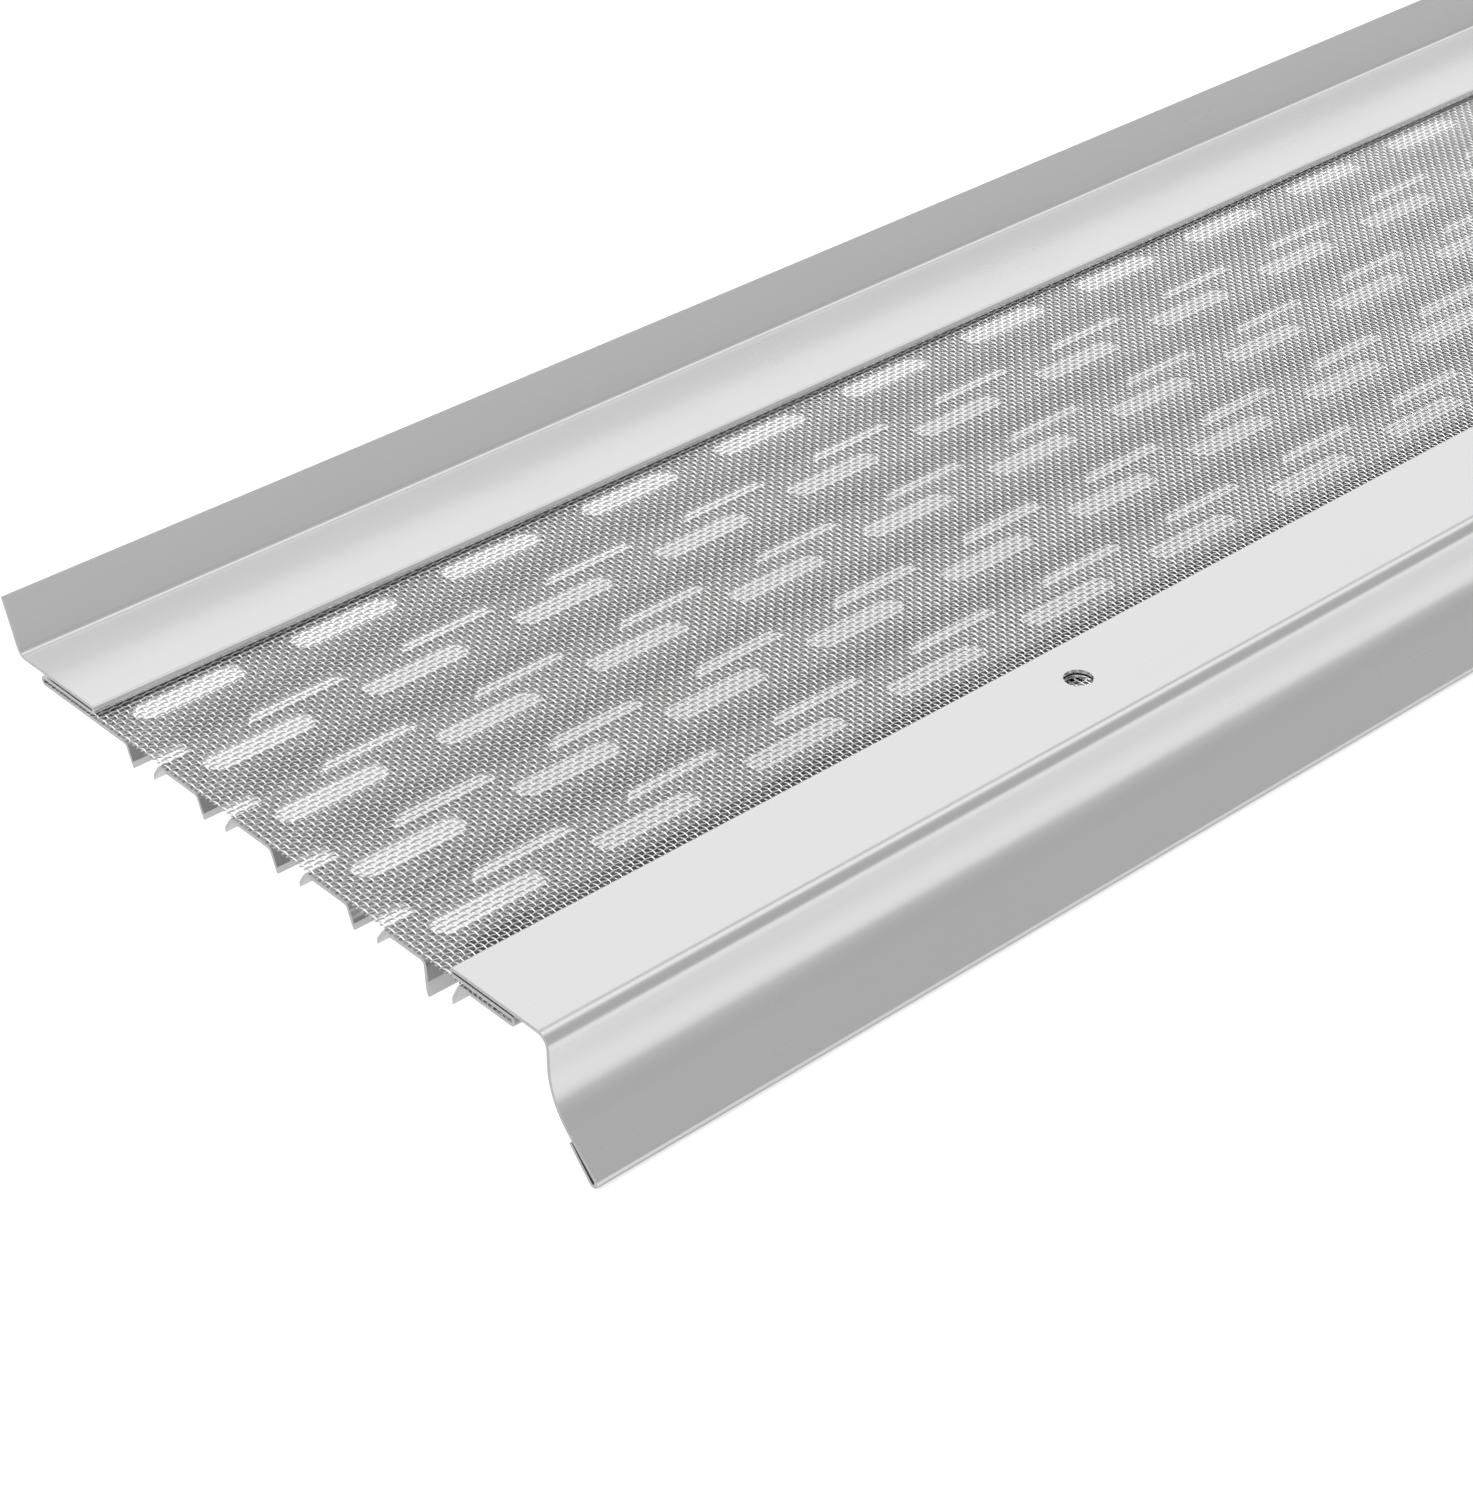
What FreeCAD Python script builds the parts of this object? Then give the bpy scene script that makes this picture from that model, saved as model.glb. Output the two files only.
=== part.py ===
import FreeCAD, Part
import math
import os

# Gutter guard: a length of roll-formed aluminium sheet with punched slots, and a woven wire
# screen that is clamped in the two locked seams along its long edges.
# +X runs along the guard, +Y points to the roof and +Z is up. The origin is at the middle of
# the length and of the depth, level with the lowest edge.

DIMENSIONS = [
    ("guard_length", 914.4, "length of the piece of stock, 3 ft"),
    ("sheet_gauge", 0.635, "thickness of the formed aluminium sheet"),
    ("screen_thickness", 0.56, "thickness of the woven screen, two wires over each other"),
    ("screen_clearance", 0.005, "gap between the screen and the sheet, each side"),
    ("screen_edge_gap", 0.4, "gap from the screen's long edge to the inside of the seam"),
    ("hem_gap", 0.33, "gap inside the flattened hems of the two top strips"),
    ("bend_radius", 1.0, "bend radius at the trough edges, at mid thickness"),
    ("open_width", 87.6, "width of the screen that shows between the two strips"),
    ("rear_strip_width", 20.6, "rear strip from its hem to the corner of the flange"),
    ("rear_seam_depth", 14.9, "rear seam from the hem to the end of its fold"),
    ("flange_height", 9.35, "flange from the strip to its free edge, upright"),
    ("flange_lean", 20.5, "lean of the flange towards the roof, degrees"),
    ("flange_radius", 1.8, "bend radius between strip and flange"),
    ("front_strip_width", 21.65, "front strip from its hem to the face of the nose"),
    ("front_seam_depth", 14.3, "front seam from the hem to the end of its fold"),
    ("nose_radius", 2.3, "bend radius between front strip and nose"),
    ("nose_drop", 10.67, "from the front strip to the corner of nose and apron"),
    ("cove_radius", 13.5, "radius of the cove from the nose to the apron"),
    ("apron_angle", 46.0, "apron out from the vertical, degrees"),
    ("apron_length", 13.65, "apron from the corner of the nose to the drip hem"),
    ("drip_radius", 0.68, "fold radius of the drip hem"),
    ("drip_closing", 4.5, "angle by which the drip hem closes on the apron, degrees"),
    ("drip_length", 7.0, "leg of the drip hem"),
    ("row_pitch", 18.5, "distance between rows of slots"),
    ("first_row", 3.4, "from the rear strip's hem to the middle of the first row"),
    ("trough_mouth", 8.8, "width of a trough at its mouth"),
    ("trough_rear_slope", 68.0, "slope of a trough's rear wall, degrees"),
    ("trough_front_slope", 56.0, "slope of a trough's front wall, degrees"),
    ("trough_depth", 4.8, "depth of a trough"),
    ("seam_trough_rear", 5.75, "from the front strip's hem back to the last trough's rear wall"),
    ("seam_trough_front", 2.1, "from the front strip's hem forward to its front wall"),
    ("seam_trough_depth", 7.3, "depth of the last trough"),
    ("seam_trough_wall", 5.3, "height of the last trough's upright rear wall"),
    ("seam_trough_wall_slope", 87.0, "slope of that rear wall, degrees"),
    ("seam_trough_rear_slope", 58.0, "slope from that wall's foot to the bottom, degrees"),
    ("seam_trough_front_slope", 63.0, "slope of the last trough's front wall, degrees"),
    ("slot_pitch", 30.48, "distance between slots along the guard"),
    ("slot_length", 20.3, "length of a slot"),
    ("flat_slot_width", 5.2, "width of the slots in the flats"),
    ("trough_slot_width", 5.5, "width of the slots in the troughs"),
    ("trough_slot_shift", 0.2, "slots in the troughs, back from the trough's middle"),
    ("seam_slot_line", 2.5, "from the front strip's hem to the last row of slots"),
    ("punch_depth", 12.0, "reach of the slot punch below the screen"),
    ("screw_hole", 4.85, "diameter of the screw holes in the front strip"),
    ("screw_line", 9.0, "from the front strip's hem to the line of screw holes"),
    ("screw_first", 118.8, "from the guard's end to the first screw hole"),
    ("screw_pitch", 225.6, "distance between screw holes"),
]
FULL_TROUGHS = 4
SLOT_ROWS = FULL_TROUGHS + 1

document = FreeCAD.newDocument("gutter_guard")
sheet = document.addObject("Spreadsheet::Sheet", "sizes")
for line, (alias, value, meaning) in enumerate(DIMENSIONS, start=1):
    sheet.set(f"A{line}", meaning)
    sheet.set(f"B{line}", str(value))
    sheet.setAlias(f"B{line}", alias)
document.recompute()


def size(alias):
    """The value of one driving dimension."""
    return float(getattr(sheet, alias))


def radians(alias):
    return math.radians(size(alias))


def row_centre(row):
    """Middle of a row of slots in the flats, from the front strip's hem."""
    return size("open_width") - size("first_row") - row * size("row_pitch")


def trough_centre(row):
    return row_centre(row) - size("row_pitch") / 2


def run_of(height, slope_alias):
    """How far a wall goes across the guard while it rises by height."""
    return height / math.tan(radians(slope_alias))


def trough_corners(row, level):
    """A trough with two sloping walls and a flat bottom."""
    rear_edge = trough_centre(row) + size("trough_mouth") / 2
    front_edge = trough_centre(row) - size("trough_mouth") / 2
    depth = size("trough_depth")
    return [
        (rear_edge, level, size("bend_radius")),
        (rear_edge - run_of(depth, "trough_rear_slope"), level - depth, 0),
        (front_edge + run_of(depth, "trough_front_slope"), level - depth, 0),
        (front_edge, level, size("bend_radius")),
    ]


def seam_trough_corners(level):
    """The last trough is deeper, and its rear wall starts nearly upright."""
    rear_edge = size("seam_trough_rear")
    front_edge = -size("seam_trough_front")
    wall, depth = size("seam_trough_wall"), size("seam_trough_depth")
    wall_foot = rear_edge - run_of(wall, "seam_trough_wall_slope")
    return [
        (rear_edge, level, size("bend_radius")),
        (wall_foot, level - wall, 0),
        (wall_foot - run_of(depth - wall, "seam_trough_rear_slope"), level - depth, 0),
        (front_edge + run_of(depth, "seam_trough_front_slope"), level - depth, 0),
        (front_edge, level, size("bend_radius")),
    ]


def nose_corners(face, top):
    """The nose turns down, sweeps out as a cove into the apron and ends in a drip hem."""
    lean = radians("apron_angle")
    down = (-math.sin(lean), -math.cos(lean))
    under = (math.cos(lean), -math.sin(lean))
    closing = radians("drip_closing")
    fold = size("drip_radius")
    fold_width = fold * (1 + math.tan(math.pi / 4 + closing / 2))
    cove = (face, top - size("nose_drop"))
    fold_start = [cove[k] + down[k] * size("apron_length") for k in (0, 1)]
    fold_end = [fold_start[k] + under[k] * fold_width for k in (0, 1)]
    back = [-down[k] * math.cos(closing) - under[k] * math.sin(closing) for k in (0, 1)]
    leg_end = [fold_end[k] + back[k] * size("drip_length") for k in (0, 1)]
    return [
        (face, top, size("nose_radius")),
        (*cove, size("cove_radius")),
        (*fold_start, fold),
        (*fold_end, fold),
        (*leg_end, 0),
    ]


def section_corners():
    """Corners (y, z, radius) of the sheet's middle line, from the flange to the drip hem."""
    half = size("sheet_gauge") / 2
    seam = size("screen_thickness") / 2 + size("screen_clearance") + half
    hem = (size("hem_gap") + size("sheet_gauge")) / 2
    top = seam + 2 * hem
    rear_hem = size("open_width") + half
    rear_fold = size("open_width") + size("rear_seam_depth") - half
    front_fold = half - size("front_seam_depth")
    flange_foot = size("open_width") + size("rear_strip_width")
    flange_run = size("flange_height") * math.tan(radians("flange_lean"))
    corners = [
        (flange_foot + flange_run, top + size("flange_height"), 0),
        (flange_foot, top, size("flange_radius")),
        (rear_hem, top, hem),
        (rear_hem, seam, hem),
        (rear_fold, seam, seam),
        (rear_fold, -seam, seam),
    ]
    for row in range(FULL_TROUGHS):
        corners += trough_corners(row, -seam)
    corners += seam_trough_corners(-seam)
    corners += [
        (front_fold, -seam, seam),
        (front_fold, seam, seam),
        (-half, seam, hem),
        (-half, top, hem),
    ]
    corners += nose_corners(half - size("front_strip_width"), top)
    return corners


def directions(corners):
    """Unit direction of each straight run between corners."""
    runs = []
    for (y0, z0, _), (y1, z1, _) in zip(corners, corners[1:]):
        span = math.hypot(y1 - y0, z1 - z0)
        runs.append(((y1 - y0) / span, (z1 - z0) / span))
    return runs


def offset_corners(corners, offset):
    """The same corners moved to the left of the line by offset, with their radii to match."""
    runs = directions(corners)
    moved = []
    for index, (y, z, radius) in enumerate(corners):
        before = runs[max(index - 1, 0)]
        after = runs[min(index, len(runs) - 1)]
        turn = before[0] * after[1] - before[1] * after[0]
        share = offset / (1 + before[0] * after[0] + before[1] * after[1])
        y -= share * (before[1] + after[1])
        z += share * (before[0] + after[0])
        if radius:
            radius -= offset * math.copysign(1, turn)
        moved.append((y, z, radius))
    return moved


def side_geometry(corners):
    """Lines and tangent arcs along one side of the sheet, and the side's two ends."""
    runs = directions(corners)
    geometry = []
    start = FreeCAD.Vector(corners[0][0], corners[0][1], 0)
    here = start
    for index in range(1, len(corners) - 1):
        y, z, radius = corners[index]
        before, after = runs[index - 1], runs[index]
        turn = before[0] * after[1] - before[1] * after[0]
        angle = math.atan2(abs(turn), before[0] * after[0] + before[1] * after[1])
        tangent = radius * math.tan(angle / 2)
        middle_reach = radius / math.cos(angle / 2) - radius
        inward = FreeCAD.Vector(after[0] - before[0], after[1] - before[1], 0).normalize()
        corner = FreeCAD.Vector(y, z, 0)
        if not radius:
            geometry.append(Part.LineSegment(here, corner))
            here = corner
            continue
        arc_start = corner - FreeCAD.Vector(*before, 0) * tangent
        arc_end = corner + FreeCAD.Vector(*after, 0) * tangent
        if here.distanceToPoint(arc_start) > 1e-6:
            geometry.append(Part.LineSegment(here, arc_start))
        geometry.append(Part.Arc(arc_start, corner + inward * middle_reach, arc_end))
        here = arc_end
    end = FreeCAD.Vector(corners[-1][0], corners[-1][1], 0)
    geometry.append(Part.LineSegment(here, end))
    return geometry, start, end


def section_outline(corners):
    """Closed outline of the sheet's section."""
    half = size("sheet_gauge") / 2
    left, left_start, left_end = side_geometry(offset_corners(corners, half))
    right, right_start, right_end = side_geometry(offset_corners(corners, -half))
    caps = [Part.LineSegment(left_start, right_start), Part.LineSegment(left_end, right_end)]
    return left + right + caps


def origin_plane(body, role):
    return next(item for item in body.Origin.OriginFeatures if item.Role == role)


def new_sketch(body, name, plane, geometry, height=None):
    """A sketch on one of the body's own planes, at a height above it."""
    sketch = body.newObject("Sketcher::SketchObject", name)
    sketch.AttachmentSupport = [(origin_plane(body, plane), "")]
    sketch.MapMode = "FlatFace"
    if height is not None:
        sketch.AttachmentOffset = FreeCAD.Placement(FreeCAD.Vector(0, 0, height), FreeCAD.Rotation())
    sketch.addGeometry(geometry, False)
    return sketch


def pattern_along(body, name, feature, sketch, spacing, count):
    """Copies of a feature along the guard, spaced by an expression."""
    pattern = body.newObject("PartDesign::LinearPattern", name)
    pattern.Originals = [feature]
    pattern.Direction = (sketch, ["H_Axis"])
    pattern.setExpression("Occurrences", count)
    pattern.setExpression("Length", f"({count} - 1) * {spacing}")
    body.Tip = pattern
    return pattern


def slot_outline(middle_x, front, front_flat, rear_flat, rear):
    """A slot with flattened round ends, or with square ones where the flats are as wide as it is."""
    half_length = size("slot_length") / 2
    front_shoulder = half_length - (front_flat - front)
    rear_shoulder = half_length - (rear - rear_flat)
    right_side = dict.fromkeys([
        (front_shoulder, front),
        (half_length, front_flat),
        (half_length, rear_flat),
        (rear_shoulder, rear),
    ])
    outline = list(right_side) + [(-x, y) for x, y in reversed(right_side)]
    points = [FreeCAD.Vector(middle_x + x, y, 0) for x, y in outline]
    return [Part.LineSegment(p, q) for p, q in zip(points, points[1:] + points[:1])]


def slots_in_flats():
    half_width = size("flat_slot_width") / 2
    half_flat = half_width * math.tan(math.pi / 8)
    return [
        (centre - half_width, centre - half_flat, centre + half_flat, centre + half_width)
        for centre in map(row_centre, range(SLOT_ROWS))
    ]


def slots_in_troughs():
    """Square ends here: the walls hide them, and they spare the many slots a lot of faces."""
    half_width = size("trough_slot_width") / 2
    centres = [trough_centre(row) + size("trough_slot_shift") for row in range(FULL_TROUGHS)]
    centres.append(size("seam_slot_line"))
    edges = [(centre - half_width, centre + half_width) for centre in centres]
    return [(front, front, rear, rear) for front, rear in edges]


corners = section_corners()
outline_box = Part.Shape(section_outline(corners)).BoundBox
shift = -(outline_box.XMin + outline_box.XMax) / 2
rise = -outline_box.YMin
placed_corners = [(y + shift, z + rise, radius) for y, z, radius in corners]

WHOLE_SLOTS = "floor(sizes.guard_length / sizes.slot_pitch)"
SCREWS = "(floor((sizes.guard_length - 2 * sizes.screw_first) / sizes.screw_pitch + 0.01) + 1)"


def make_guard_body():
    """The formed sheet: one closed section, padded along X, then punched."""
    body = document.addObject("PartDesign::Body", "guard_body")
    section = new_sketch(body, "section", "YZ_Plane", section_outline(placed_corners))
    pad = body.newObject("PartDesign::Pad", "rolled_sheet")
    pad.Profile = section
    pad.setExpression("Length", "sizes.guard_length")
    document.recompute()

    rows = [
        ("flat_slots", slots_in_flats(), 0.5, WHOLE_SLOTS),
        ("trough_slots", slots_in_troughs(), 0, WHOLE_SLOTS + " + 1"),
    ]
    for name, slots, first_share, count in rows:
        geometry = []
        for slot in slots:
            across = [edge + shift for edge in slot]
            geometry += slot_outline(first_share * size("slot_pitch"), *across)
        sketch = new_sketch(body, name + "_sketch", "XY_Plane", geometry, rise)
        pocket = body.newObject("PartDesign::Pocket", name)
        pocket.Profile = sketch
        pocket.setExpression("Length", "sizes.punch_depth")
        pattern_along(body, name + "_pattern", pocket, sketch, "sizes.slot_pitch", f"({count})")
        document.recompute()

    hole_place = FreeCAD.Vector(size("screw_first"), shift - size("screw_line"), 0)
    hole_ring = Part.Circle(hole_place, FreeCAD.Vector(0, 0, 1), size("screw_hole") / 2)
    sketch = new_sketch(body, "screw_sketch", "XY_Plane", [hole_ring], 2 * rise)
    pocket = body.newObject("PartDesign::Pocket", "screw_hole")
    pocket.Profile = sketch
    pocket.Type = "ThroughAll"
    pattern_along(body, "screw_holes", pocket, sketch, "sizes.screw_pitch", SCREWS)
    document.recompute()
    return body


def make_screen():
    """Plain sheet in the place of the woven wire screen, pierced by the same screws."""
    front = size("screen_edge_gap") + size("sheet_gauge") - size("front_seam_depth")
    rear = size("open_width") + size("rear_seam_depth") - size("sheet_gauge") - size("screen_edge_gap")
    plate = document.addObject("Part::Box", "screen_plate")
    plate.setExpression("Length", "sizes.guard_length")
    plate.Width = rear - front
    plate.setExpression("Height", "sizes.screen_thickness")
    plate.Placement.Base = FreeCAD.Vector(0, front + shift, rise - size("screen_thickness") / 2)
    cutters = document.addObject("Part::Compound", "screw_cutters")
    span = size("guard_length") - 2 * size("screw_first")
    count = math.floor(span / size("screw_pitch") + 0.01) + 1
    rods = []
    for index in range(count):
        rod = document.addObject("Part::Cylinder", f"screw_cutter_{index + 1}")
        rod.setExpression("Radius", "sizes.screw_hole / 2")
        rod.setExpression("Height", "3 * sizes.screen_thickness")
        hole_x = size("screw_first") + index * size("screw_pitch")
        low = rise - 1.5 * size("screen_thickness")
        rod.Placement.Base = FreeCAD.Vector(hole_x, shift - size("screw_line"), low)
        rods.append(rod)
    cutters.Links = rods
    screen = document.addObject("Part::Cut", "mesh_screen")
    screen.Base = plate
    screen.Tool = cutters
    document.recompute()
    return screen


parts = [make_guard_body(), make_screen()]
for part, label in zip(parts, ("guard_body", "mesh_screen")):
    part.Label = label
    part.setExpression("Placement.Base.x", "-sizes.guard_length / 2")
document.recompute()

for item in document.Objects:
    if "Invalid" in item.State or "Error" in item.State:
        raise RuntimeError(f"{item.Label} failed: {item.State}")
os.makedirs("parts", exist_ok=True)
for part in parts:
    if part.Shape.isNull() or not part.Shape.isValid():
        raise RuntimeError(f"{part.Label} has no valid shape")
    box = part.Shape.BoundBox
    print(part.Label, len(part.Shape.Solids), "solid", round(part.Shape.Volume, 1), "mm3",
          [round(v, 3) for v in (box.XMin, box.YMin, box.ZMin, box.XMax, box.YMax, box.ZMax)])
    part.Shape.exportStep(f"parts/{part.Label}.step")
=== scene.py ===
import math

import bpy
import numpy as np
from mathutils import Matrix, Vector
from mathutils.geometry import delaunay_2d_cdt


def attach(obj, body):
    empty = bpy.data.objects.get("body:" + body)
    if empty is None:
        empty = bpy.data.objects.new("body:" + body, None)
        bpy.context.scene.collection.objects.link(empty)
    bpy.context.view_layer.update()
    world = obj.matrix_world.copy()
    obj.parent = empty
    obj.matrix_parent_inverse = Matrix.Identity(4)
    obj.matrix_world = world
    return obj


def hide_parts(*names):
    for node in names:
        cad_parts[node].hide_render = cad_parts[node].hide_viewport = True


# Gutter guard: the formed sheet with smooth bends and round slots, and the woven wire screen.
# Sizes are in mm and slopes in degrees, as in the part's source. The section's own coordinates
# start at the front strip's hem (y) and at the middle of the screen (z). SHIFT and RISE put it
# in the row's frame.

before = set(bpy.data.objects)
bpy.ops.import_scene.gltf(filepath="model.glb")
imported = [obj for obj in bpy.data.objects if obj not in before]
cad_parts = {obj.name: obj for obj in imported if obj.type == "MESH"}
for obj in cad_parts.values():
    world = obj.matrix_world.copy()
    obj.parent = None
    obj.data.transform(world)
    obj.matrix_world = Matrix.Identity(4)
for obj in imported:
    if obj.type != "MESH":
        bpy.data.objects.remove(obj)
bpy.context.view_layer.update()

LENGTH = 914.4
LEFT, RIGHT = -LENGTH / 2, LENGTH / 2
GAUGE = 0.635
HALF = GAUGE / 2
SHIFT = -40.40287
RISE = 19.59887
SCREEN_THICKNESS = 0.56
SCREEN_CLEARANCE = 0.005
HEM_GAP = 0.33
BEND = 1.0
OPEN = 87.6

# Heights of the middle line: SEAM above and below the screen, TOP in the two strips. SEAM and
# HEM are also the radii of the folds.
SEAM = SCREEN_THICKNESS / 2 + SCREEN_CLEARANCE + HALF
HEM = (HEM_GAP + GAUGE) / 2
TOP = SEAM + 2 * HEM

REAR_STRIP = 20.6
REAR_SEAM = 14.9
FLANGE_HEIGHT = 9.35
FLANGE_LEAN = 20.5
FLANGE_RADIUS = 1.8

FRONT_STRIP = 21.65
FRONT_SEAM = 14.3
NOSE_RADIUS = 2.3
NOSE_DROP = 10.67
COVE_RADIUS = 13.5
APRON_ANGLE = 46
APRON = 13.65
DRIP_RADIUS = 0.68
DRIP_CLOSING = 4.5
DRIP_LEG = 7.0

PITCH = 18.5
FIRST_ROW = OPEN - 3.4
FULL_TROUGHS = 4
TROUGH_HALF = 4.4
TROUGH_DEPTH = 4.8
TROUGH_REAR_SLOPE = 68
TROUGH_FRONT_SLOPE = 56
TROUGH_RADIUS = 2.9
SEAM_TROUGH_REAR = 5.75
SEAM_TROUGH_FRONT = -2.1
SEAM_TROUGH_DEPTH = 7.3
SEAM_TROUGH_WALL = 5.3
SEAM_TROUGH_WALL_SLOPE = 87
SEAM_TROUGH_REAR_SLOPE = 58
SEAM_TROUGH_FRONT_SLOPE = 63
SEAM_TROUGH_FOOT_RADIUS = 2.4
SEAM_TROUGH_RADIUS = 2.1

# The slots: half lengths and widths. The punched field lies between two lines of constant y.
SLOT_PITCH = 30.48
SLOT_HALF = 20.3 / 2
FLAT_SLOT = 5.2 / 2
TROUGH_SLOT = 5.5 / 2
TROUGH_SLOT_SHIFT = 0.2
SEAM_SLOT_LINE = 2.5
FIELD_REAR = OPEN - 0.4
FIELD_FRONT = -4.0

# The screw holes, from the left end, and the strip of sheet that is cut around them.
SCREW_LINE = -9.0
SCREW_RADIUS = 4.85 / 2
SCREWS = [118.8 + 225.6 * k for k in range(4)]
HOLE_REAR = SCREW_LINE + 3.0
HOLE_FRONT = SCREW_LINE - 3.0

# The screen: 24 wires to the inch. A wire's middle swings up and down by WIRE, and PRISM is
# the radius of the prism that stands for it. The weave goes on a little under the strips.
# Further in the two layers lie straight, HIDDEN_GAP inside the swing.
MESH = 304.8 / 288
WIRE = 0.14
PRISM = 0.162
SCREEN_LOW = -13.265
SCREEN_HIGH = 101.465
LONG_WIRES = 108
WEAVE_MARGIN = 0.6
HIDDEN_GAP = 0.02
SCREEN_PARTS = 3

# Bends: the radius below which a rate counts, and the rate in steps per radian.
BEND_STEPS = [(2, 2.2), (5, 3.4), (math.inf, 10)]

# Kinds of face on the sheet, in the order of its materials. The covered kind gets painted shade:
# a darker grey for the shade under the screen.
ROLLED, SHEARED, COVERED = 0, 1, 2

# The studio's level against the angle across the guard, in degrees: 0 is the rear horizon,
# 90 is overhead and 180 is the front horizon. It doesn't change along the guard, so a bend
# shows the same bands from end to end.
STUDIO = [(0, 0.89), (54, 0.89), (71, 0.46), (87, 0.96), (98, 0.94), (116, 0.46), (155, 0.43),
          (180, 0.48)]

# The camera fitted to the photograph: pixels, and mm from the left end of the front hem.
PHOTO_HEIGHT = 1500
FOCAL_LENGTH = 3648.94
SENSOR = 36
CAMERA_SPOT = (-243.403, -324.643, 316.202)
CAMERA_RIGHT = (0.73797486, -0.67482414, 0.00234049)
CAMERA_DOWN = (-0.38082797, -0.41932446, -0.82409772)
CAMERA_FORWARD = (0.55710246, 0.60727208, -0.56644282)


def run_of(height, slope):
    """How far a wall of this height and slope runs along y."""
    return height / math.tan(math.radians(slope))


def trough(middle):
    rear, front = middle + TROUGH_HALF, middle - TROUGH_HALF
    bottom = -SEAM - TROUGH_DEPTH
    return [
        (rear, -SEAM, BEND),
        (rear - run_of(TROUGH_DEPTH, TROUGH_REAR_SLOPE), bottom, TROUGH_RADIUS),
        (front + run_of(TROUGH_DEPTH, TROUGH_FRONT_SLOPE), bottom, TROUGH_RADIUS),
        (front, -SEAM, BEND),
    ]


def seam_trough():
    """The last trough, beside the front seam, with an upright rear wall."""
    foot = SEAM_TROUGH_REAR - run_of(SEAM_TROUGH_WALL, SEAM_TROUGH_WALL_SLOPE)
    rear = foot - run_of(SEAM_TROUGH_DEPTH - SEAM_TROUGH_WALL, SEAM_TROUGH_REAR_SLOPE)
    front = SEAM_TROUGH_FRONT + run_of(SEAM_TROUGH_DEPTH, SEAM_TROUGH_FRONT_SLOPE)
    bottom = -SEAM - SEAM_TROUGH_DEPTH
    return [
        (SEAM_TROUGH_REAR, -SEAM, BEND),
        (foot, -SEAM - SEAM_TROUGH_WALL, SEAM_TROUGH_FOOT_RADIUS),
        (rear, bottom, SEAM_TROUGH_RADIUS),
        (front, bottom, SEAM_TROUGH_RADIUS),
        (SEAM_TROUGH_FRONT, -SEAM, BEND),
    ]


def nose():
    """The upright face, the cove, the sloping apron and the drip hem that closes on it."""
    lean, closing = math.radians(APRON_ANGLE), math.radians(DRIP_CLOSING)
    down = Vector((-math.sin(lean), -math.cos(lean)))
    under = Vector((math.cos(lean), -math.sin(lean)))
    face = HALF - FRONT_STRIP
    cove = Vector((face, TOP - NOSE_DROP))
    start = cove + down * APRON
    end = start + under * DRIP_RADIUS * (1 + math.tan(math.pi / 4 + closing / 2))
    leg = end + (-down * math.cos(closing) - under * math.sin(closing)) * DRIP_LEG
    return [
        (face, TOP, NOSE_RADIUS),
        (*cove, COVE_RADIUS),
        (*start, DRIP_RADIUS),
        (*end, DRIP_RADIUS),
        (*leg, 0),
    ]


def section_corners():
    """Corners (y, z, radius) of the sheet's middle line, from the flange to the drip hem."""
    foot = OPEN + REAR_STRIP
    lean = FLANGE_HEIGHT * math.tan(math.radians(FLANGE_LEAN))
    rear_fold = OPEN + REAR_SEAM - HALF
    front_fold = HALF - FRONT_SEAM
    corners = [
        (foot + lean, TOP + FLANGE_HEIGHT, 0),
        (foot, TOP, FLANGE_RADIUS),
        (OPEN + HALF, TOP, HEM),
        (OPEN + HALF, SEAM, HEM),
        (rear_fold, SEAM, SEAM),
        (rear_fold, -SEAM, SEAM),
    ]
    for row in range(FULL_TROUGHS):
        corners += trough(FIRST_ROW - PITCH * (row + 0.5))
    corners += seam_trough()
    corners += [
        (front_fold, -SEAM, SEAM),
        (front_fold, SEAM, SEAM),
        (-HALF, SEAM, HEM),
        (-HALF, TOP, HEM),
    ]
    return corners + nose()


def bend_samples(corner, radius, before, after):
    """Points and directions along the bend from one run of the middle line to the next."""
    turn = before.x * after.y - before.y * after.x
    angle = math.atan2(turn, before.dot(after))
    reach = radius * math.tan(abs(angle) / 2)
    start = corner - before * reach
    centre = start + Vector((-before.y, before.x)) * math.copysign(radius, turn)
    rate = next(rate for limit, rate in BEND_STEPS if radius < limit)
    steps = max(2, math.ceil(abs(angle) * rate))
    samples = []
    for step in range(steps + 1):
        spin = Matrix.Rotation(angle * step / steps, 2)
        samples.append((centre + spin @ (start - centre), (spin @ before).normalized()))
    return samples


def sample_section(corners, breaks):
    """Samples (y, z, ny, nz) of the middle line with its normal on the left.

    The level runs get more points where they cross the breaks, which are values of y.
    """
    points = [Vector(c[:2]) for c in corners]
    runs = [(q - p).normalized() for p, q in zip(points, points[1:])]
    samples = [(points[0], runs[0])]
    for k in range(1, len(points) - 1):
        samples += bend_samples(points[k], corners[k][2], runs[k - 1], runs[k])
    samples.append((points[-1], runs[-1]))
    line = []
    for (p, t), (q, u) in zip(samples, samples[1:]):
        if (q - p).length < 1e-6:
            continue
        line.append((p, t))
        if t.dot(u) > 0.999999 and abs(t.y) < 1e-6:
            inside = [b for b in breaks if min(p.x, q.x) + 1e-6 < b < max(p.x, q.x) - 1e-6]
            for b in sorted(inside, reverse=t.x < 0):
                line.append((Vector((b, p.y)), t))
    line.append(samples[-1])
    return [(p.x, p.y, -t.y, t.x) for p, t in line]


def side_of(sample, sign):
    """Point and normal of one side of the sheet at a sample of the middle line."""
    y, z, ny, nz = sample
    return (y + sign * ny * HALF, z + sign * nz * HALF), (sign * ny, sign * nz)


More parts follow.
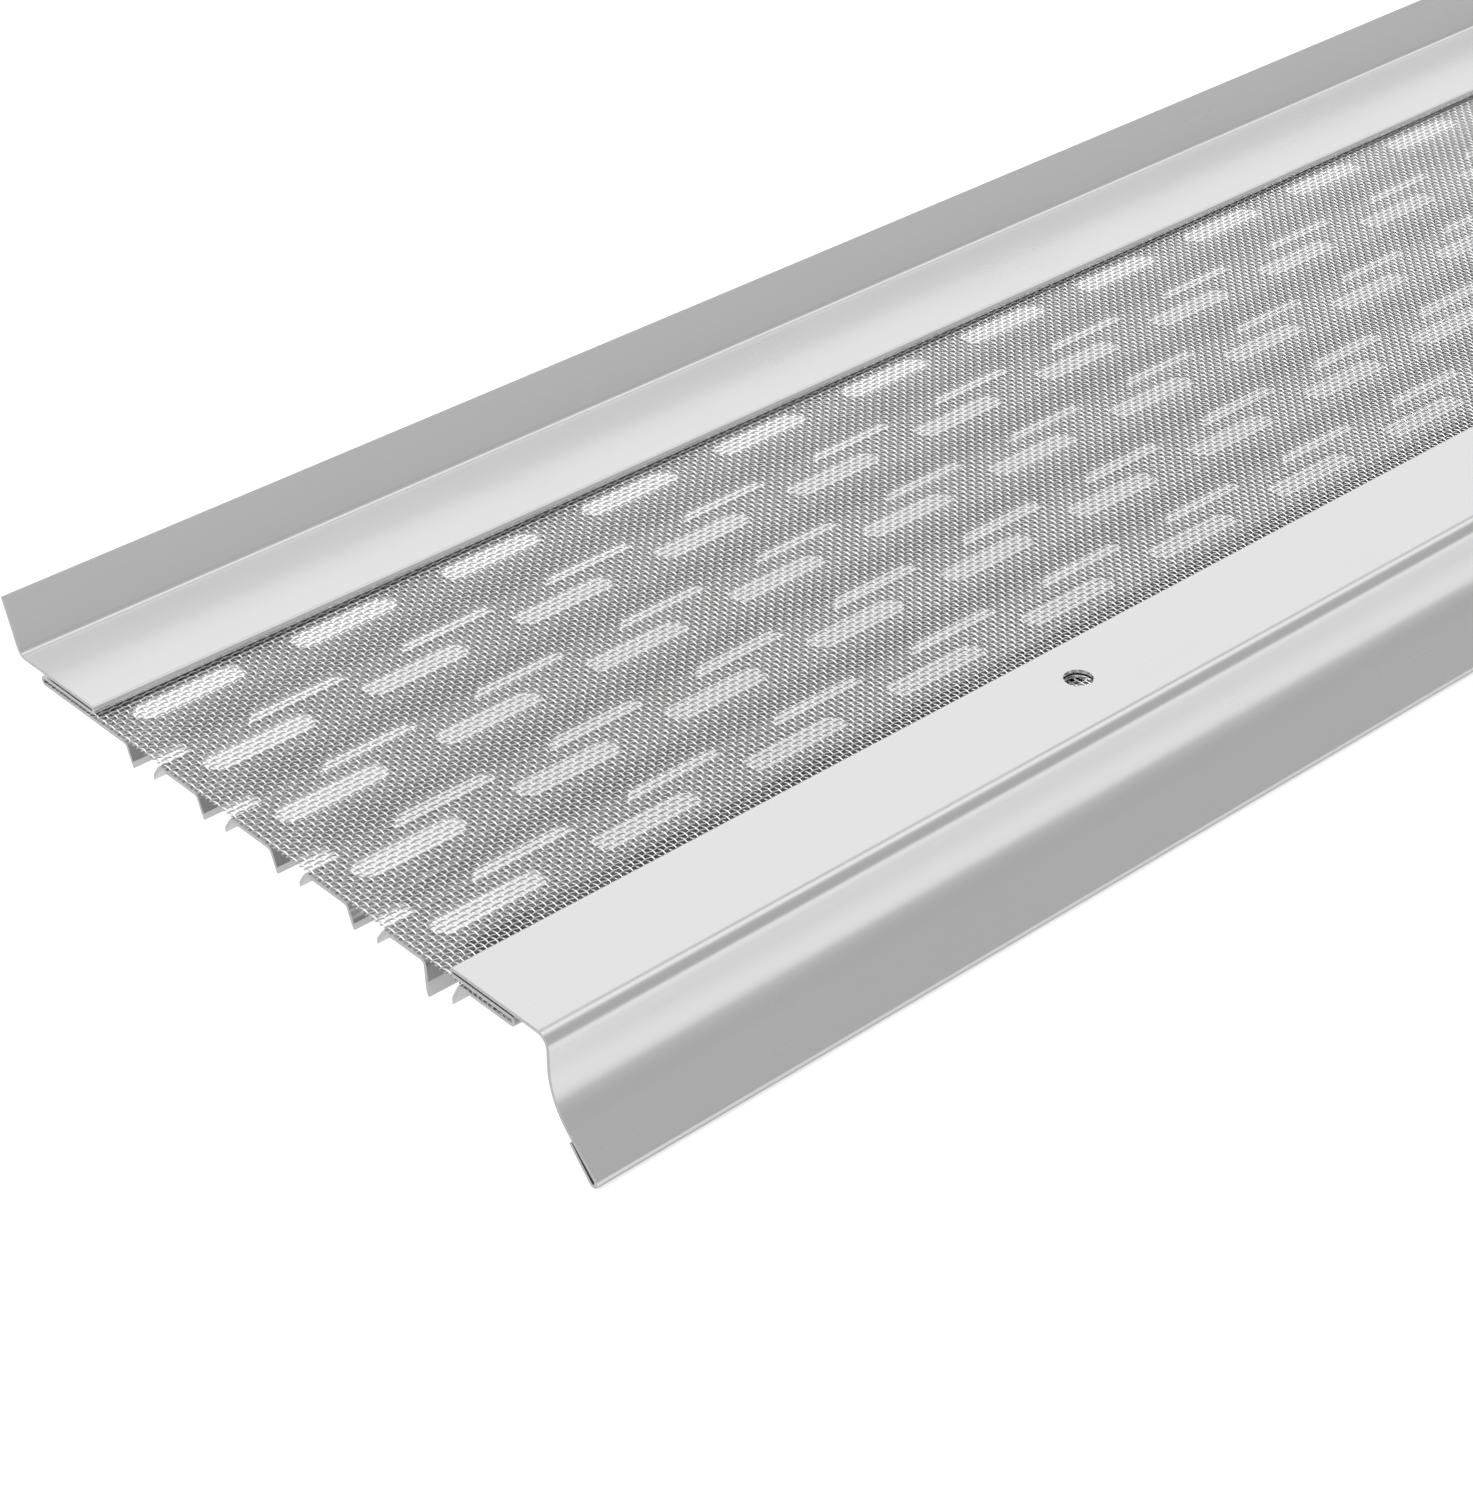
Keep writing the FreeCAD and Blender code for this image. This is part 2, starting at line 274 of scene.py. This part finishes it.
class Shell:
    """Faces with their own corner normals, welded into one mesh at the end."""

    def __init__(self):
        self.faces = []

    def add(self, corners, normals, kind=ROLLED):
        self.faces.append((np.asarray(corners, float), np.asarray(normals, float), kind))

    def add_strip(self, low, high, normal_low, normal_high, flip):
        """A quad along the whole guard between two points (y, z) of the section."""
        corners = [(LEFT, *low), (RIGHT, *low), (RIGHT, *high), (LEFT, *high)]
        normals = [(0, *normal_low), (0, *normal_low), (0, *normal_high), (0, *normal_high)]
        if flip:
            corners.reverse()
            normals.reverse()
        self.add(corners, normals)

    def add_ends(self, outline):
        """The same quad (y, z) of the section on both cut ends of the guard."""
        for x, nx in ((LEFT, -1), (RIGHT, 1)):
            corners = [(x, *point) for point in outline]
            self.add(corners if nx < 0 else corners[::-1], [(nx, 0, 0)] * 4, SHEARED)

    def mesh(self, name):
        """The mesh, without the faces that lost a corner in the welding."""
        sizes = np.array([len(c) for c, _, _ in self.faces])
        corners = np.concatenate([c for c, _, _ in self.faces])
        normals = np.concatenate([n for _, n, _ in self.faces])
        kinds = np.array([kind for _, _, kind in self.faces])
        _, first, index = np.unique(np.round(corners, 4), axis=0, return_index=True,
                                    return_inverse=True)
        index = index.reshape(-1)
        starts = np.concatenate([[0], np.cumsum(sizes)[:-1]])
        keep = np.array([len(set(index[s:s + n])) == n for s, n in zip(starts, sizes)])
        loops = np.repeat(keep, sizes)
        index, normals, sizes = index[loops], normals[loops], sizes[keep]
        starts = np.concatenate([[0], np.cumsum(sizes)[:-1]])
        mesh = bpy.data.meshes.new(name)
        mesh.vertices.add(len(first))
        place = corners[first] + (0, SHIFT, RISE)
        mesh.vertices.foreach_set("co", (place / 1000).ravel())
        mesh.loops.add(len(index))
        mesh.loops.foreach_set("vertex_index", index.astype(np.int32))
        mesh.polygons.add(len(sizes))
        mesh.polygons.foreach_set("loop_start", starts.astype(np.int32))
        mesh.polygons.foreach_set("use_smooth", np.ones(len(sizes), bool))
        mesh.polygons.foreach_set("material_index", kinds[keep].astype(np.int32))
        mesh.update(calc_edges=True)
        normals /= np.linalg.norm(normals, axis=1, keepdims=True)
        mesh.normals_split_custom_set(normals.tolist())
        return mesh


def stadium(middle_x, middle_y, half_width, steps=10):
    """Outline of a slot with round ends, counterclockwise."""
    reach = SLOT_HALF - half_width
    points = []
    for side, start in ((1, -90), (-1, 90)):
        for step in range(steps + 1):
            a = math.radians(start + 180 * step / steps)
            points.append((middle_x + side * reach + half_width * math.cos(a),
                           middle_y + half_width * math.sin(a)))
    return points


def ring(middle_x, middle_y, radius, steps=32):
    """Outline of a round hole, counterclockwise."""
    return [(middle_x + radius * math.cos(a), middle_y + radius * math.sin(a))
            for a in np.linspace(0, 2 * math.pi, steps, endpoint=False)]


def with_crossings(outline, lines):
    """The closed outline with more points where it crosses the lines of constant y."""
    dense = []
    for (x0, y0), (x1, y1) in zip(outline, outline[1:] + outline[:1]):
        dense.append((x0, y0))
        inside = [v for v in lines if min(y0, y1) + 1e-5 < v < max(y0, y1) - 1e-5]
        for v in sorted(inside, reverse=y1 < y0):
            s = (v - y0) / (y1 - y0)
            dense.append((x0 + s * (x1 - x0), v))
    return dense


def in_polygon(x, y, outline):
    """Which of the points lie inside the outline, by the crossings on their right."""
    inside = np.zeros(len(x), bool)
    for (x0, y0), (x1, y1) in zip(outline, outline[1:] + outline[:1]):
        if y0 != y1:
            inside ^= ((y0 > y) != (y1 > y)) & (x < x0 + (y - y0) * (x1 - x0) / (y1 - y0))
    return inside


def pierced(width, lines, outlines):
    """Triangles (x, y) of a rectangle between the lines, less what lies inside the outlines."""
    points, edges = [], []
    for v in lines:
        points += [(0.0, v), (width, v)]
        edges.append((len(points) - 2, len(points) - 1))
    for side in (0, 1):
        column = sorted((points[k][1], k) for k in range(side, 2 * len(lines), 2))
        edges += [(a[1], b[1]) for a, b in zip(column, column[1:])]
    for outline in outlines:
        first = len(points)
        points += outline
        count = len(outline)
        edges += [(first + k, first + (k + 1) % count) for k in range(count)]
    result = delaunay_2d_cdt([Vector(p) for p in points], edges, [], 0, 1e-5)
    spots = np.array([(v.x, v.y) for v in result[0]])
    triangles = np.array([f for f in result[2] if len(f) == 3])
    middle = spots[triangles].mean(axis=1)
    keep = (middle[:, 0] > 0) & (middle[:, 0] < width)
    keep &= (middle[:, 1] > min(lines)) & (middle[:, 1] < max(lines))
    for outline in outlines:
        keep &= ~in_polygon(middle[:, 0], middle[:, 1], outline)
    triangles = triangles[keep]
    a, b, c = (spots[triangles[:, k]] for k in (0, 1, 2))
    ab, ac = b - a, c - a
    area = ab[:, 0] * ac[:, 1] - ab[:, 1] * ac[:, 0]
    triangles[area < 0] = triangles[area < 0][:, ::-1]
    return spots, triangles[abs(area) > 1e-9]


class Face:
    """Height and normal of one side of the sheet, as functions of y."""

    def __init__(self, rows):
        self.y, self.z, self.ny, self.nz = (np.array(c) for c in zip(*sorted(rows)))

    def place(self, y):
        return np.interp(y, self.y, self.z)

    def normal(self, y):
        return np.interp(y, self.y, self.ny), np.interp(y, self.y, self.nz)


def add_field(shell, spots, triangles, top, bottom, x0, upper=ROLLED):
    """Both sides of the sheet over one set of triangles."""
    for side, order, kind in ((top, (0, 1, 2), upper), (bottom, (2, 1, 0), ROLLED)):
        z = side.place(spots[:, 1])
        ny, nz = side.normal(spots[:, 1])
        place = np.column_stack([spots[:, 0] + x0, spots[:, 1], z])
        normal = np.column_stack([np.zeros(len(z)), ny, nz])
        for triangle in triangles[:, order]:
            shell.add(place[triangle], normal[triangle], kind)


def add_wall(shell, outline, middle, reach, top, bottom, x0, clip=None):
    """The punched edge of a slot or hole, from one side of the sheet to the other.

    Its normals point to the hole's middle line, which reaches this far to both sides. What
    lies on or past the clip's ends isn't an edge: the hole goes on in the next cell.
    """

    def facing(x, y):
        dx = x - middle[0]
        dx -= max(-reach, min(reach, dx))
        n = Vector((-dx, middle[1] - y, 0))
        return tuple(n.normalized()) if n.length > 1e-9 else (0, 0, 1)

    for (xa, ya), (xb, yb) in zip(outline, outline[1:] + outline[:1]):
        if clip and (min(xa, xb) < clip[0] - 1e-6 or max(xa, xb) > clip[1] + 1e-6):
            continue
        if clip and xa == xb and xa in clip:
            continue
        za, zb = top.place([ya, yb])
        wa, wb = bottom.place([ya, yb])
        corners = [(xa + x0, ya, za), (xb + x0, yb, zb), (xb + x0, yb, wb), (xa + x0, ya, wa)]
        na, nb = facing(xa, ya), facing(xb, yb)
        shell.add(corners, [na, nb, nb, na])


def add_screw_layer(shell, z):
    """The strip of one level layer with the screw holes."""
    top = Face([(y, z + HALF, 0, 1) for y in (HOLE_FRONT, HOLE_REAR)])
    bottom = Face([(y, z - HALF, 0, -1) for y in (HOLE_FRONT, HOLE_REAR)])
    rings = [ring(x, SCREW_LINE, SCREW_RADIUS) for x in SCREWS]
    spots, triangles = pierced(LENGTH, [HOLE_FRONT, HOLE_REAR], rings)
    add_field(shell, spots, triangles, top, bottom, LEFT)
    for outline, x in zip(rings, SCREWS):
        add_wall(shell, outline, (x, SCREW_LINE), 0, top, bottom, LEFT)


def add_floor(shell, top, bottom):
    """The punched floor: one cell of slots, repeated along the guard, and its cut ends."""
    lines = sorted({round(v, 5) for v in np.concatenate([top.y, bottom.y])})
    flats = [FIRST_ROW - PITCH * row for row in range(FULL_TROUGHS + 1)]
    troughs = [FIRST_ROW - PITCH * (row + 0.5) + TROUGH_SLOT_SHIFT for row in range(FULL_TROUGHS)]
    troughs.append(SEAM_SLOT_LINE)
    slots = [(SLOT_PITCH / 2, y, FLAT_SLOT) for y in flats]
    slots += [(x, y, TROUGH_SLOT) for y in troughs for x in (0.0, SLOT_PITCH)]
    outlines = []
    for x, y, width in slots:
        outline = stadium(x, y, width)
        if x == 0.0:
            outline = [p for p in outline if p[0] > 1e-6]
            outline = [(x, y - width)] + outline + [(x, y + width)]
        elif x == SLOT_PITCH:
            outline = [p for p in outline if p[0] < SLOT_PITCH - 1e-6]
            outline = [(x, y + width)] + outline + [(x, y - width)]
        outlines.append(with_crossings(outline, lines))
    spots, triangles = pierced(SLOT_PITCH, lines, outlines)
    for cell in range(round(LENGTH / SLOT_PITCH)):
        x0 = LEFT + cell * SLOT_PITCH
        # The upper side under the screen takes the painted shade material.
        add_field(shell, spots, triangles, top, bottom, x0, COVERED)
        for outline, (x, y, width) in zip(outlines, slots):
            add_wall(shell, outline, (x, y), SLOT_HALF - width, top, bottom, x0,
                     clip=(0.0, SLOT_PITCH))

    edge = sorted(set(lines) | {y + s * TROUGH_SLOT for y in troughs for s in (-1, 1)})
    for ya, yb in zip(edge, edge[1:]):
        if any(abs((ya + yb) / 2 - y) < TROUGH_SLOT for y in troughs):
            continue
        za, zb = top.place([ya, yb])
        wa, wb = bottom.place([ya, yb])
        shell.add_ends([(ya, za), (yb, zb), (yb, wb), (ya, wa)])


def make_sheet():
    """The formed sheet, with its section between the flange and the drip hem."""
    line = sample_section(section_corners(), [FIELD_REAR, FIELD_FRONT, HOLE_REAR, HOLE_FRONT])

    def near(value, target):
        return abs(value - target) < 1e-4

    def on_floor(y):
        return next(k for k, s in enumerate(line) if near(s[0], y) and near(s[1], -SEAM))

    start, stop = on_floor(FIELD_REAR), on_floor(FIELD_FRONT)
    shell = Shell()
    for k, (sample, following) in enumerate(zip(line, line[1:])):
        if start <= k < stop:
            continue
        front, rear = sorted((sample[0], following[0]))
        holed = near(front, HOLE_FRONT) and near(rear, HOLE_REAR)
        if not holed:
            for sign in (1, -1):
                (a, na), (b, nb) = side_of(sample, sign), side_of(following, sign)
                shell.add_strip(a, b, na, nb, sign < 0)
        shell.add_ends([side_of(sample, 1)[0], side_of(following, 1)[0],
                        side_of(following, -1)[0], side_of(sample, -1)[0]])
        if holed:
            add_screw_layer(shell, sample[1])

    for sample, out in ((line[0], -1), (line[-1], 1)):
        (a, na), (b, _) = side_of(sample, 1), side_of(sample, -1)
        corners = [(LEFT, *a), (RIGHT, *a), (RIGHT, *b), (LEFT, *b)]
        normal = (0, out * na[1], -out * na[0])
        shell.add(corners if out > 0 else corners[::-1], [normal] * 4, SHEARED)

    floor = line[start:stop + 1]
    top, bottom = (Face([sum(side_of(s, sign), ()) for s in floor]) for sign in (-1, 1))
    add_floor(shell, top, bottom)
    return shell.mesh("formed_sheet")


def wire_mesh(name, centres, across):
    """Wires as three-sided prisms, smooth around and creased at each bend.

    centres has the points (x, y, z) of each wire, and across is the axis that the wires lie
    across: 0 for wires along Y and 1 for wires along X.
    """
    wires, rings, _ = centres.shape
    angles = np.radians([90, 210, 330])
    offsets = np.zeros((3, 3))
    offsets[:, across] = PRISM * np.cos(angles)
    offsets[:, 2] = PRISM * np.sin(angles)
    places = centres[:, :, None, :] + offsets[None, None]
    places += (0, SHIFT, RISE)
    spots = np.arange(wires * rings * 3).reshape(wires, rings, 3)
    here, ahead = spots[:, :-1], spots[:, 1:]
    quads = np.stack([np.stack([here[..., a], here[..., b], ahead[..., b], ahead[..., a]], -1)
                      for a, b in ((0, 1), (1, 2), (2, 0))], 2).reshape(-1, 4)
    caps = np.concatenate([spots[:, 0, ::-1], spots[:, -1, :]])
    if across == 0:
        quads, caps = quads[:, ::-1], caps[:, ::-1]
    mesh = bpy.data.meshes.new(name)
    mesh.vertices.add(places.size // 3)
    mesh.vertices.foreach_set("co", (places / 1000).ravel())
    loops = np.concatenate([quads.ravel(), caps.ravel()]).astype(np.int32)
    mesh.loops.add(len(loops))
    mesh.loops.foreach_set("vertex_index", loops)
    starts = np.concatenate([np.arange(len(quads)) * 4, quads.size + np.arange(len(caps)) * 3])
    mesh.polygons.add(len(starts))
    mesh.polygons.foreach_set("loop_start", starts.astype(np.int32))
    mesh.polygons.foreach_set("use_smooth", np.ones(len(starts), bool))
    mesh.update(calc_edges=True)
    ends = np.empty(len(mesh.edges) * 2, np.int32)
    mesh.edges.foreach_get("vertices", ends)
    ends = ends.reshape(-1, 2) // 3
    creased = mesh.attributes.new("sharp_edge", "BOOLEAN", "EDGE")
    creased.data.foreach_set("value", ends[:, 0] == ends[:, 1])
    return mesh


def drift(x, y):
    """How far a wire strays from its place, at most 0.06 mm."""
    return 0.035 * np.sin(x / 23 + 1.3 * np.sin(y / 31)) + 0.025 * np.sin(x / 7.7 + y / 5.1)


def weave(wires, steps, height):
    """Heights of the wires at their crossings: over one and under the next."""
    return np.where((np.arange(-1, steps + 1)[None, :] + wires[:, None]) % 2 == 0,
                    height, -height)


def screen_meshes():
    """The woven screen: wires along X and along Y, each over one and under the next."""
    columns = LEFT + (np.arange(round(LENGTH / MESH)) + 0.5) * MESH
    lines = (SCREEN_LOW + SCREEN_HIGH) / 2 + (np.arange(LONG_WIRES) - (LONG_WIRES - 1) / 2) * MESH
    woven = (lines > -WEAVE_MARGIN) & (lines < OPEN + WEAVE_MARGIN)
    rows, hidden = lines[woven], lines[~woven]
    meshes = []

    xs = np.concatenate([[LEFT], columns, [RIGHT]])
    for part, share in enumerate(np.array_split(np.arange(len(rows)), SCREEN_PARTS), start=1):
        y = rows[share][:, None] + drift(xs[None, :], rows[share][:, None])
        up = weave(share, len(columns), WIRE)
        up[:, 0] = up[:, -1] = 0
        centres = np.stack([np.broadcast_to(xs, y.shape), y, up], -1)
        meshes.append(wire_mesh(f"screen_long_wires_{part}", centres, 1))

    centres = np.zeros((len(hidden), 2, 3))
    centres[:, 0, 0], centres[:, 1, 0] = LEFT, RIGHT
    centres[:, :, 1] = hidden[:, None]
    centres[:, :, 2] = HIDDEN_GAP - WIRE
    meshes.append(wire_mesh("screen_seam_wires", centres, 1))

    ys = np.concatenate([[SCREEN_LOW], rows, [SCREEN_HIGH]])
    for part, share in enumerate(np.array_split(np.arange(len(columns)), SCREEN_PARTS), start=1):
        x = columns[share][:, None] + drift(ys[None, :] * 1.1 + 40, columns[share][:, None])
        x = np.clip(x, LEFT + PRISM, RIGHT - PRISM)
        up = weave(share, len(rows), -WIRE)
        up[:, 0] = up[:, -1] = WIRE - HIDDEN_GAP
        centres = np.stack([x, np.broadcast_to(ys, x.shape), up], -1)
        meshes.append(wire_mesh(f"screen_cross_wires_{part}", centres, 0))
    return meshes


class Metal:
    """A metallic material whose grey and roughness follow noise in the piece's coordinates."""

    def __init__(self, name, roughness=0.5):
        self.material = bpy.data.materials.new(name)
        self.material.use_nodes = True
        self.nodes = self.material.node_tree.nodes
        self.links = self.material.node_tree.links
        self.shader = self.nodes["Principled BSDF"]
        self.shader.inputs["Metallic"].default_value = 1.0
        self.shader.inputs["Roughness"].default_value = roughness
        self.place = self.nodes.new("ShaderNodeTexCoord").outputs["Object"]

    def noise(self, scale, detail=2.0, stretch=None):
        place = self.place
        if stretch:
            mapping = self.nodes.new("ShaderNodeMapping")
            mapping.inputs["Scale"].default_value = stretch
            self.links.new(place, mapping.inputs["Vector"])
            place = mapping.outputs["Vector"]
        texture = self.nodes.new("ShaderNodeTexNoise")
        texture.inputs["Scale"].default_value = scale
        texture.inputs["Detail"].default_value = detail
        self.links.new(place, texture.inputs["Vector"])
        return texture.outputs["Fac"]

    def average(self, a, b):
        both = self.nodes.new("ShaderNodeMath")
        both.operation = "ADD"
        half = self.nodes.new("ShaderNodeMath")
        half.operation = "MULTIPLY"
        half.inputs[1].default_value = 0.5
        self.links.new(a, both.inputs[0])
        self.links.new(b, both.inputs[1])
        self.links.new(both.outputs[0], half.inputs[0])
        return half.outputs[0]

    def set_tint(self, pattern, dark, light):
        tint = self.nodes.new("ShaderNodeMix")
        tint.data_type = "RGBA"
        tint.inputs["A"].default_value = (dark, dark, dark, 1)
        tint.inputs["B"].default_value = (light, light, light, 1)
        self.links.new(pattern, tint.inputs["Factor"])
        self.links.new(tint.outputs["Result"], self.shader.inputs["Base Color"])

    def set_roughness(self, pattern, low, high, span=(0, 1)):
        """Roughness from low to high while the pattern goes over its span."""
        rough = self.nodes.new("ShaderNodeMapRange")
        rough.inputs["From Min"].default_value, rough.inputs["From Max"].default_value = span
        rough.inputs["To Min"].default_value = low
        rough.inputs["To Max"].default_value = high
        self.links.new(pattern, rough.inputs["Value"])
        self.links.new(rough.outputs["Result"], self.shader.inputs["Roughness"])

    def set_bump(self, pattern, strength):
        bump = self.nodes.new("ShaderNodeBump")
        bump.inputs["Strength"].default_value = strength
        bump.inputs["Distance"].default_value = 0.001
        self.links.new(pattern, bump.inputs["Height"])
        self.links.new(bump.outputs["Normal"], self.shader.inputs["Normal"])


def sheet_material():
    """Mill-finish aluminium: satin, with faint rolling lines along the sheet."""
    metal = Metal("satin_aluminium")
    lines = metal.noise(1.0, 4.0, stretch=(20, 1600, 1600))
    clouds = metal.noise(42, 1)
    both = metal.average(lines, clouds)
    metal.set_roughness(both, 0.21, 0.28, span=(0.3, 0.7))
    metal.set_tint(both, 0.875, 0.89)
    metal.set_bump(clouds, 0.05)
    return metal.material


def cut_material():
    """Sheared edges: greyer and rougher than the rolled faces."""
    metal = Metal("sheared_edge", roughness=0.55)
    metal.set_tint(metal.noise(1500), 0.5, 0.66)
    return metal.material


def shaded_floor_material():
    """The floor's upper side under the screen: painted shade, a darker grey, so the gaps in the
    weave are dark.
    """
    metal = Metal("painted_shade_floor", roughness=0.4)
    # Painted shade: this grey is well below the rolled faces' to stand for the shade the wires
    # cast on the floor.
    metal.set_tint(metal.noise(90), 0.52, 0.6)
    return metal.material


def wire_material():
    """Bright drawn wire."""
    metal = Metal("bright_wire")
    grain = metal.noise(700)
    metal.set_roughness(grain, 0.2, 0.3)
    metal.set_tint(grain, 0.9, 0.98)
    return metal.material


def add_piece(mesh, materials, node):
    piece = bpy.data.objects.new(mesh.name, mesh)
    bpy.context.scene.collection.objects.link(piece)
    for material in materials:
        mesh.materials.append(material)
    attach(piece, "root")
    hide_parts(node)


def make_world():
    """Soft studio, the same all along the guard, and white where the camera sees it."""
    world = bpy.data.worlds.new("studio")
    bpy.context.scene.world = world
    world.use_nodes = True
    nodes, links = world.node_tree.nodes, world.node_tree.links
    nodes.clear()
    place = nodes.new("ShaderNodeTexCoord")
    split = nodes.new("ShaderNodeSeparateXYZ")
    links.new(place.outputs["Generated"], split.inputs[0])
    height = nodes.new("ShaderNodeMath")
    height.operation = "ABSOLUTE"
    links.new(split.outputs["Z"], height.inputs[0])
    angle = nodes.new("ShaderNodeMath")
    angle.operation = "ARCTAN2"
    links.new(height.outputs[0], angle.inputs[0])
    links.new(split.outputs["Y"], angle.inputs[1])
    share = nodes.new("ShaderNodeMath")
    share.operation = "DIVIDE"
    links.new(angle.outputs[0], share.inputs[0])
    share.inputs[1].default_value = math.pi
    ramp = nodes.new("ShaderNodeValToRGB")
    ramp.color_ramp.interpolation = "EASE"
    stops = ramp.color_ramp.elements
    while len(stops) < len(STUDIO):
        stops.new(0.5)
    for stop, (degrees, level) in zip(stops, STUDIO):
        stop.position = degrees / 180
        stop.color = (level, level, level, 1)
    links.new(share.outputs[0], ramp.inputs["Fac"])
    studio = nodes.new("ShaderNodeBackground")
    links.new(ramp.outputs["Color"], studio.inputs["Color"])
    white = nodes.new("ShaderNodeBackground")
    white.inputs["Color"].default_value = (1, 1, 1, 1)
    path = nodes.new("ShaderNodeLightPath")
    mix = nodes.new("ShaderNodeMixShader")
    links.new(path.outputs["Is Camera Ray"], mix.inputs[0])
    links.new(studio.outputs[0], mix.inputs[1])
    links.new(white.outputs[0], mix.inputs[2])
    output = nodes.new("ShaderNodeOutputWorld")
    links.new(mix.outputs[0], output.inputs[0])


def make_floor():
    """Plain white floor, 0.1 mm under the drip hem, that keeps a soft shadow."""
    mesh = bpy.data.meshes.new("floor")
    reach = 6.0
    corners = [(-reach, -reach, 0), (reach, -reach, 0), (reach, reach, 0), (-reach, reach, 0)]
    mesh.from_pydata(corners, [], [(0, 1, 2, 3)])
    floor = bpy.data.objects.new("floor", mesh)
    bpy.context.scene.collection.objects.link(floor)
    floor.location.z = -0.0001
    material = bpy.data.materials.new("floor_white")
    material.use_nodes = True
    nodes, links = material.node_tree.nodes, material.node_tree.links
    nodes.clear()
    matt = nodes.new("ShaderNodeBsdfDiffuse")
    matt.inputs["Color"].default_value = (0.72, 0.72, 0.72, 1)
    glow = nodes.new("ShaderNodeEmission")
    path = nodes.new("ShaderNodeLightPath")
    level = nodes.new("ShaderNodeMapRange")
    level.inputs["To Min"].default_value = 0.04
    level.inputs["To Max"].default_value = 0.58
    links.new(path.outputs["Is Camera Ray"], level.inputs["Value"])
    links.new(level.outputs["Result"], glow.inputs["Strength"])
    both = nodes.new("ShaderNodeAddShader")
    links.new(matt.outputs[0], both.inputs[0])
    links.new(glow.outputs[0], both.inputs[1])
    output = nodes.new("ShaderNodeOutputMaterial")
    links.new(both.outputs[0], output.inputs[0])
    mesh.materials.append(material)


def make_light():
    """A very wide soft lamp above and to the left, which brings out the wires."""
    lamp = bpy.data.lights.new("softbox", "SUN")
    lamp.energy = 2.1
    lamp.angle = math.radians(60)
    holder = bpy.data.objects.new("softbox", lamp)
    bpy.context.scene.collection.objects.link(holder)
    towards = Vector((-0.7, 0.27, 0.66))
    holder.rotation_euler = (-towards).to_track_quat("-Z", "Y").to_euler()


def make_camera():
    """The photograph's view."""
    data = bpy.data.cameras.new("camera")
    data.sensor_fit = "AUTO"
    data.sensor_width = SENSOR
    data.lens = FOCAL_LENGTH * SENSOR / PHOTO_HEIGHT
    data.clip_start = 0.01
    data.clip_end = 50
    camera = bpy.data.objects.new("camera", data)
    bpy.context.scene.collection.objects.link(camera)
    axes = (Vector(CAMERA_RIGHT), -Vector(CAMERA_DOWN), -Vector(CAMERA_FORWARD))
    turn = Matrix(axes).transposed().to_4x4()
    spot = Vector([a + b for a, b in zip(CAMERA_SPOT, (LEFT, SHIFT, RISE))]) / 1000
    camera.matrix_world = Matrix.Translation(spot) @ turn
    bpy.context.scene.camera = camera


bpy.context.scene.view_settings.view_transform = "Standard"
sheet_looks = [sheet_material(), cut_material(), shaded_floor_material()]
add_piece(make_sheet(), sheet_looks, "guard_body")
wire = wire_material()
for screen_mesh in screen_meshes():
    add_piece(screen_mesh, [wire], "mesh_screen")
make_world()
make_floor()
make_light()
make_camera()
